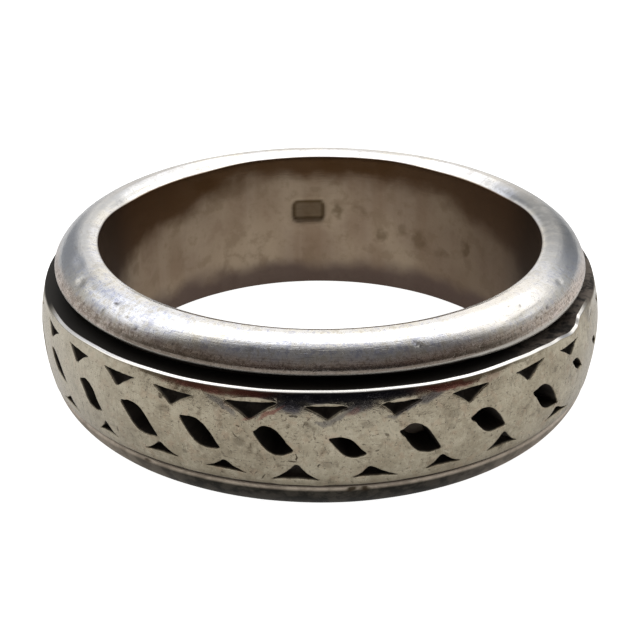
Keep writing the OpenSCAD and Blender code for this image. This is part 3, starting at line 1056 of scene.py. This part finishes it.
def makeCoreSilver():
    p = Paint("coreSilver")
    bore, groove, lip, along, stain = [p.value(name) for name in ("bore", "groove", "lip", "along", "stain")]
    surface = p.unrolled(along)
    lowRim, lowDirtAndShade = p.step(p.z, 1.75, 1.3), p.step(p.z, 1.41, 1.26)
    brush = p.streaks(surface, (0.35, 0.35, 9.0), 1.0, 3.0, 0.6)
    hair = p.streaks(surface, (0.8, 0.8, 16.0), 1.5, 2.0, 0.6)
    scratch = p.larger(p.step(p.streaks(surface, (0.5, 2.2, 7.0), 2.2, 1.0, 0.5, 0.4), 0.64, 0.70),
                       p.step(p.streaks(surface, (3.0, 0.6, 2.0), 3.0, 1.0, 0.5, 0.6), 0.66, 0.71))
    blotch = p.noise(surface, 0.45, 4.0, 0.6)
    patch = p.noise(surface, 1.3, 4.0, 0.65)
    speck = p.step(p.noise(surface, 5.0, 3.0, 0.65), 0.56, 0.68)
    fine = p.noise(surface, 16.0)

    # Rims: bright silver with grey and tan tarnish. Painted shade darkens the flanks, most on the right, and
    # the back is greyer away from the finger hole
    p.base(p.step(blotch, 0.40, 0.60), (0.89, 0.90, 0.945), (0.955, 0.935, 0.885))
    p.coat((0.71, 0.70, 0.69), p.step(patch, 0.48, 0.66))
    beyond = p.vector("LENGTH", p.join(p.x, p.y, 0.0))
    right = p.step(p.x, 0, 5)
    start, behind = p.plus(beyond, p.times(right, 0.3)), p.plus(p.y, p.times(right, 2.5))
    aside = p.number("ABSOLUTE", p.x)
    flankShade = p.times(p.step(start, 9.7, 10.1), p.step(aside, 3.5, 7.0), p.step(p.y, -6.5, -2.0),
                    p.step(behind, 9.6, 5.4), p.blend(p.step(patch, 0.4, 0.6), 0.85, 1.0))
    flecks = p.noise(surface, 3.2, 4.0, 0.7)
    worn = p.step(p.y, 2.0, -3.0)
    p.coat((0.50, 0.53, 0.70), p.step(flecks, 0.53, 0.60), worn, 0.55)
    p.coat((0.60, 0.54, 0.42), p.step(flecks, 0.45, 0.38), worn, 0.5)
    p.coat((0.66, 0.60, 0.52), p.step(blotch, 0.52, 0.70), 0.45)
    p.coat((0.42, 0.38, 0.33), p.step(hair, 0.5, 0.72), 0.22)
    # Painted shade: the flanks darkened, most on the right towards the back
    p.coat(p.mix(p.times(right, p.step(p.y, -5, 1)), (0.53, 0.54, 0.56), (0.23, 0.235, 0.24)), flankShade)
    p.coat((0.50, 0.47, 0.44), p.step(beyond, 9.5, 10.8), p.step(p.y, 2.0, 6.0), 0.75)
    # The rim's outer half at the front: brownish, with light and dark specks and darker scratches
    outer = p.times(p.step(p.plus(p.z, p.times(patch, 0.5)), 6.95, 6.55), p.step(p.y, 3.0, -4.0))
    p.coat((0.80, 0.655, 0.56), outer, 0.75)
    # Darker blots in the outer half, on the left of the front
    blots = p.step(p.noise(surface, 2.4, 4.0, 0.7), 0.40, 0.58)
    p.coat((0.30, 0.24, 0.20), p.step(p.x, -1.0, -6.0), outer, blots, 0.65)
    # Painted highlight: a lighter cream patch high on the crown at the front right
    p.coat((1.0, 0.955, 0.89), p.step(p.x, 3.5, 6.0), p.step(p.y, -4.0, -6.5), p.step(p.z, 6.5, 6.8), 0.65)
    p.coat((0.98, 0.93, 0.88), p.step(p.noise(surface, 6.5, 3.0, 0.7), 0.47, 0.39), outer, 0.5)
    p.coat((0.24, 0.19, 0.155), p.step(p.noise(surface, 9.0, 3.0, 0.7), 0.52, 0.60), outer, 0.62)
    p.coat((0.26, 0.21, 0.17), p.step(hair, 0.46, 0.60), outer, 0.4)
    p.coat((0.17, 0.125, 0.095), speck, outer, 0.7)
    # Painted shade: the front of the top rim darker low down, near its edge
    p.coat((0.17, 0.14, 0.11), p.step(p.z, 6.42, 6.2), p.step(p.y, -6.5, -9.5), 0.75)
    p.coat((0.3, 0.27, 0.24), scratch, 0.25)
    p.coat((0.62, 0.60, 0.55), lip, p.step(p.z, 6.1, 6.04), 0.8)
    # Bottom rim: grey-brown, and near black underneath, most at the front: dirt with painted shade
    p.coat(p.mix(p.step(patch, 0.4, 0.62), (0.64, 0.55, 0.44), (0.38, 0.32, 0.25)), lowRim, 0.8)
    p.coat((0.022, 0.021, 0.017), lowDirtAndShade, p.blend(p.step(p.y, -8.0, -11.0), 0.3, 0.97),
           p.blend(p.step(patch, 0.4, 0.6), 0.9, 1.0))
    # Finger hole: brown tarnish with soft upright streaks and yellow-brown stains, and a darker upper
    # band that reaches further down on the side walls
    silver = p.tone
    streak = p.streaks(p.around, (0.7, 0.7, 0.0), 1.0, 3.0)
    p.base(p.step(streak, 0.3, 0.7), (0.40, 0.285, 0.195), (0.48, 0.365, 0.265))
    p.coat((0.64, 0.51, 0.365), p.step(p.noise(p.place, 0.3, 5.0, 0.62), 0.38, 0.62), 0.7)
    p.coat((0.27, 0.18, 0.11), p.step(p.noise(p.place, 1.2, 4.0, 0.6), 0.46, 0.66), 0.45)
    p.coat((0.12, 0.075, 0.025), p.marks(p.shaken(p.place, 1.6, 1.0), boreStains, boreRadius, 0.2))
    nearer = p.larger(p.minus(8.8, p.y), 0.0)
    reach = p.plus(p.z, p.times(nearer, 0.32), p.times(p.noise(p.place, 0.5, 3.0), 2.0),
                   p.times(p.step(p.x, -2.0, -7.0), 0.35))
    p.coat((0.140, 0.072, 0.030), p.step(reach, 6.3, 7.5), 0.93)
    # Darker on the right, towards the bottom, and all round but at the back
    p.coat((0.15, 0.100, 0.066), p.step(p.x, 2.5, 8.5), 0.6)
    p.coat((0.16, 0.11, 0.095), p.step(p.plus(p.z, p.times(p.noise(p.place, 0.5), 1.2)), 2.3, 1.3), 0.85)
    p.coat((0.05, 0.036, 0.03), p.step(p.y, 4.6, 1.6), 0.7)
    p.base(bore, silver, p.tone)
    p.coat(p.mix(bore, (0.05, 0.035, 0.02), (0.075, 0.045, 0.016)), stain)
    # The groove: oxide with painted shade, near black above the spinner and tan lower down on the sleeve
    p.coat(p.mix(p.step(p.z, 5.2, 5.6), (0.55, 0.47, 0.38), (0.010, 0.009, 0.008)), groove)

    roughness = p.plus(p.blend(p.step(patch, 0.35, 0.65), 0.13, 0.21), p.times(p.step(fine, 0.4, 0.7), 0.06),
                       p.times(outer, 0.06))
    roughness = p.blend(lowRim, roughness, p.blend(lowDirtAndShade, 0.30, 0.55))
    roughness = p.blend(groove, p.blend(bore, roughness, 0.40), 0.7)
    height = p.plus(p.times(brush, 0.004), p.times(hair, 0.002), p.times(scratch, -0.0012),
                    p.times(fine, 0.0025), p.times(speck, outer, -0.004))
    return p.finish(p.blend(groove, 1.0, 0.2), roughness, height)


def makeSpinnerSilver():
    p = Paint("spinnerSilver")
    soot, shine = p.value("soot"), p.value("shine")
    surface = p.unrolled(p.z)
    cloud = p.noise(surface, 0.8, 5.0, 0.65)
    grain = p.noise(surface, 4.5, 4.0, 0.65)
    pits = p.step(p.noise(surface, 7.5, 2.0, 0.6), 0.61, 0.70)
    fine = p.noise(surface, 20.0)
    warm = p.step(p.noise(surface, 2.1, 2.0, 0.6), 0.52, 0.68)
    grime = p.times(p.step(p.noise(surface, 1.5, 4.0, 0.7), 0.50, 0.68), p.step(grain, 0.40, 0.60))
    scratch = p.larger(p.step(p.streaks(surface, (1.0, 1.0, 5.0), 2.4, 1.0, 0.5, 1.0), 0.66, 0.70),
                       p.step(p.streaks(surface, (4.0, 4.0, 0.9), 1.6, 1.0, 0.5, 1.4), 0.67, 0.71))
    scratch = p.times(scratch, 0.5)
    shoulder = p.step(p.z, 4.85, 5.15)
    marks = p.marks(p.shaken(surface, 5.0, 0.14), spinnerMarks, crownRadius)

    # Face: grey-tan silver with salt and pepper specks, grime, pits and scratches
    p.base(p.step(cloud, 0.36, 0.64), (0.43, 0.375, 0.275), (0.61, 0.55, 0.42))
    p.coat((0.38, 0.33, 0.24), p.step(grain, 0.42, 0.60), 0.35)
    p.coat((0.50, 0.37, 0.26), warm, 0.35)
    salt = p.noise(surface, 9.0, 2.0, 0.6)
    p.coat((0.80, 0.74, 0.60), p.step(salt, 0.56, 0.66), 0.25)
    p.coat((0.20, 0.16, 0.12), p.step(salt, 0.44, 0.34), 0.25)
    p.coat((0.18, 0.145, 0.10), grime, 0.6)
    p.coat((0.13, 0.10, 0.07), pits, 0.5)
    p.coat((0.13, 0.10, 0.075), scratch, 0.5)
    # Painted shade: the face darker towards its bottom
    p.coat((0.26, 0.22, 0.16), p.step(p.z, 1.9, 1.7), 0.4)
    # Painted highlight: the left side of the face lighter
    p.coat((0.80, 0.75, 0.64), p.step(p.x, -5.5, -10.5), 0.35)
    p.coat((0.075, 0.055, 0.035), marks)
    # Painted reflection, painted shade and grease between the front chips, the bright worn edge, and the dark
    # of the cuts and the groove: oxide with painted shade, lightened on the right by painted reflection
    smeared = p.shaken(surface, 2.0, 0.35)
    p.coat((0.105, 0.10, 0.115), p.marks(smeared, darkReflectionAndGrease, crownRadius, 0.4))
    p.coat((0.27, 0.115, 0.09), p.marks(smeared, redReflection, crownRadius, 0.35))
    p.coat((0.90, 0.88, 0.85), shine, 0.95)
    dark = p.mix(p.step(cloud, 0.4, 0.6), (0.025, 0.020, 0.016), (0.06, 0.05, 0.04))
    # Painted reflection: on the right, the dark top face and groove get lighter brown patches
    rightReflection = p.times(p.step(p.x, 6.8, 8.6), p.step(p.noise(p.place, 1.6, 4.0, 0.65), 0.38, 0.56))
    rightReflection = p.mix(rightReflection, (0.022, 0.018, 0.014), (0.20, 0.165, 0.135))
    p.coat(p.mix(p.step(p.z, 5.15, 5.25), dark, rightReflection), soot)

    roughness = p.blend(shoulder, p.blend(p.step(cloud, 0.3, 0.7), 0.20, 0.29), 0.12)
    roughness = p.blend(soot, p.blend(shine, roughness, 0.13), 0.75)
    height = p.plus(p.times(grain, 0.010), p.times(pits, -0.006), p.times(fine, 0.003),
                    p.times(scratch, -0.005))
    height = p.times(height, p.plus(1.0, p.times(p.larger(shine, shoulder), -0.85)))
    height = p.plus(height, p.times(marks, -0.012))
    return p.finish(p.blend(soot, 1.0, 0.2), roughness, height)


coreSilver = makeCoreSilver()
spinnerSilver = makeSpinnerSilver()
print("metals made")


def bandValues(part, firstTurn=0.0):
    depths = {word.title() + " Depth": part[word + "Depth"] * mm for word in ("waver", "dent", "ragged")}
    return {"Bend Radius": crownRadius * mm, "First Turn": math.radians(firstTurn), "Weld Distance": 0.002 * mm,
            "Waver Scale": part["waverScale"], "Dent Scale": part["dentScale"], "Ragged Scale": 5000.0,
            "Seed": part["seed"], **depths}


coreSlice, sliceLength, coreLookup = makeCoreSlice(core)
coreBand = bendIntoRing("coreBand", coreSlice, [i * sliceLength for i in range(core["slices"])], {},
                        bandValues(core), coreSilver)
markCore(coreBand, coreLookup, coreMarks, blankMark)
dipEdge(coreBand, crownWear, heights=(6.0, 6.8), radii=(10.3, 9.6))
dipEdge(coreBand, lipDips, heights=(6.75, 6.2), innerRadius=boreRadius + 1.25)

spinnerSlice, pitch = makeSpinnerSlice(spinner, braid)
pegs, pegColumns = strayColumns(braid, pitch)
spinnerBand = bendIntoRing("spinnerBand", spinnerSlice, pegs, pegColumns,
                           bandValues(spinner, braid["firstTurn"]), spinnerSilver)
shadeOverSides(spinnerBand, spinner)
dipEdge(spinnerBand, edgeDips, heights=(4.9, 5.45), innerRadius=crownRadius - 1.6, slope=0.32)

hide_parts("core_band")
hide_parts("spinner_band")
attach(coreBand, "core")
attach(spinnerBand, "spinner")


# Studio: a pale floor, a bright tent above and behind, and a darker room on the camera's side

studio = {
    "floorTone": (0.62, 0.62, 0.62, 1),
    "floorGlow": 0.3,           # light that the floor gives off,
    "seenGlow": 0.7,            # and what is added where the camera sees it
    "panelSize": (0.4, 0.3),    # metres, as the panel's place
    "panelPlace": (0, 0.2, 0.3),
    "panelPower": 0.2,
}


def makeFloor(s):
    mesh = bpy.data.meshes.new("studioFloor")
    mesh.from_pydata([(-1, -1, 0), (1, -1, 0), (1, 1, 0), (-1, 1, 0)], [], [(0, 1, 2, 3)])
    paper = bpy.data.materials.new("paleFloor")
    paper.use_nodes = True
    n = Nodes(paper.node_tree)
    seen = n.add("ShaderNodeLightPath", "Is Camera Ray")
    settings = {"Base Color": s["floorTone"], "Roughness": 0.9, "Emission Color": (1, 1, 1, 1),
                "Emission Strength": n.plus(n.times(seen, s["seenGlow"]), s["floorGlow"])}
    for name, value in settings.items():
        n.feed(n.tree.nodes["Principled BSDF"].inputs[name], value)
    mesh.materials.append(paper)
    addObject("studioFloor", mesh)


def makeSky():
    world = bpy.data.worlds.new("studioSky")
    world.use_nodes = True
    bpy.context.scene.world = world
    n = Nodes(world.node_tree)
    direction = n.add("ShaderNodeTexCoord", "Generated")
    x, y, z = n.split(direction)
    # Behind the ring: a wall, a tent with a greyer bar above it, and a window between
    n.base(n.step(y, 0.35, 0.78), (0.53, 0.525, 0.50), (0.33, 0.34, 0.36))
    bar = n.step(n.vector("DOT_PRODUCT", direction, (-0.39, 0.65, 0.65)), 0.955, 0.99)
    n.coat(n.mix(bar, (1.2, 1.19, 1.17), (0.70, 0.72, 0.78)), n.step(z, 0.34, 0.66))
    n.coat((0.98, 0.95, 0.90), n.step(n.number("ABSOLUTE", x), 0.42, 0.2), n.step(y, 0.75, 0.88))
    back = n.tone
    # On the camera's side: a dim room with two dark places low down
    n.base(n.step(z, 0.2, 0.9), (0.13, 0.112, 0.095), (0.12, 0.115, 0.115))
    facing = n.vector("DOT_PRODUCT", direction, (0.14, -0.985, 0.08))
    low = n.step(z, 0.50, 0.32)
    n.coat((0.085, 0.045, 0.04), n.step(facing, 0.68, 0.86), low)
    n.coat((0.02, 0.02, 0.025), n.step(facing, 0.82, 0.92), low)
    climb = n.larger(n.minus(z, 0.25), 0.0)
    n.coat(back, n.step(n.minus(y, n.times(climb, 0.25)), -0.4, 0.15))
    n.coat((1.0, 1.0, 1.0), n.add("ShaderNodeLightPath", "Is Camera Ray"))
    n.feed(n.tree.nodes["Background"].inputs["Color"], n.tone)


def makeLights(s):
    data = bpy.data.lights.new("topPanel", "AREA")
    data.shape = "RECTANGLE"
    data.size, data.size_y = s["panelSize"]
    data.energy = s["panelPower"]
    addObject("topPanel", data).location = s["panelPlace"]


makeFloor(studio)
makeSky()
makeLights(studio)
bpy.context.scene.view_settings.view_transform = "Standard"
print("studio made")
